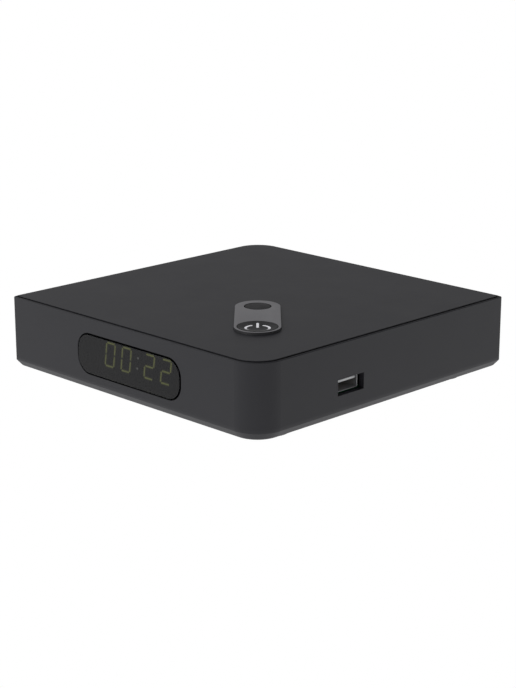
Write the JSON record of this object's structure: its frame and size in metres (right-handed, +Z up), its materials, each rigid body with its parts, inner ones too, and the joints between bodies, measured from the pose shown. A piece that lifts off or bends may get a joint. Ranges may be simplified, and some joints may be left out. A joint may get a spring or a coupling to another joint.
{
  "type": "satellite tv receiver",
  "caption": "Small square satellite receiver: moulded tub with inset cover, clock display behind a smoked window, push button on a raised panel, side USB socket and rear sockets.",
  "frame": {"origin": "middle of the whole box, rear satellite inlets included, on the floor that the rubber feet stand on", "axes": "+Z up, the front with the display faces -Y, the USB socket faces +X, the rear sockets face +Y"},
  "size_m": [0.15, 0.1598, 0.0356],
  "materials": {
    "housing_plastic": "fine satin moulding texture, charcoal",
    "panel_plastic": "satin grey",
    "button_plastic": "polished dark grey",
    "lens_plastic": "dark tinted, polished",
    "window_acrylic": "smoked and polished",
    "display_resin": "black, smooth",
    "board_laminate": "green solder mask",
    "chip_resin": "black moulded resin",
    "switch_resin": "black",
    "black_nylon": "black moulded nylon",
    "white_nylon": "white moulded nylon",
    "contact_gold": "gold plated",
    "pin_nickel": "nickel plated",
    "shield_steel": "tin plated sheet",
    "screw_steel": "zinc plated",
    "heatsink_aluminium": "extruded, clear",
    "pad_silicone": "soft grey",
    "foot_rubber": "matte black",
    "led_resin": "clear resin",
    "cable_film": "white polyester film",
    "display_glow": "lit yellow-green clock digits",
    "symbol_white": "white back-lit standby sign"
  },
  "bodies": {
    "housing": {"bottom_housing": "housing_plastic", "top_cover": "housing_plastic", "control_bezel": "panel_plastic", "status_lens": "lens_plastic", "key_board": "board_laminate", "key_board_screws": "screw_steel", "tact_switch": "switch_resin", "power_leds": "led_resin", "status_led": "led_resin", "key_board_socket": "white_nylon", "main_board_socket": "white_nylon", "key_cable": "cable_film", "display_window": "window_acrylic", "display_module": "display_resin", "display_board": "board_laminate", "ir_receiver": "display_resin", "display_header": "black_nylon", "main_board": "board_laminate", "board_screws": "screw_steel", "processor": "chip_resin", "thermal_pad": "pad_silicone", "heatsink": "heatsink_aluminium", "memory_chips": "chip_resin", "flash_chip": "chip_resin", "demodulator_chip": "chip_resin", "inductors": "chip_resin", "capacitors": "heatsink_aluminium", "crystal": "shield_steel", "tuner_frame": "shield_steel", "tuner_cover": "shield_steel", "lnb_connector_1": "pin_nickel", "lnb_connector_2": "pin_nickel", "lnb_insulators": "white_nylon", "ethernet_socket": "shield_steel", "ethernet_contacts": "contact_gold", "hdmi_shell": "shield_steel", "hdmi_tongue": "white_nylon", "av_jack": "black_nylon", "dc_jack": "black_nylon", "dc_jack_pin": "pin_nickel", "usb_shell": "shield_steel", "usb_tongue": "white_nylon", "usb_contacts": "contact_gold", "rubber_feet": "foot_rubber", "case_screws": "screw_steel"},
    "power_button": {"power_button": "button_plastic", "button_light_guide": "led_resin"},
    "switch_plunger": {"switch_plunger": "led_resin"}
  },
  "joints": [
    {"name": "power_button_press", "type": "slide", "parent": "housing", "child": "power_button", "axis": [0, 0, -1], "range_m": [0, 0.0003], "stiffness_N_per_m": 3000, "springref_m": -0.0002},
    {"name": "switch_plunger_press", "type": "slide", "parent": "housing", "child": "switch_plunger", "axis": [0, 0, -1], "range_m": [0, 0.0003]}
  ],
  "couplings": [
    {"joint": "switch_plunger_press", "follows": "power_button_press", "ratio": 1}
  ]
}
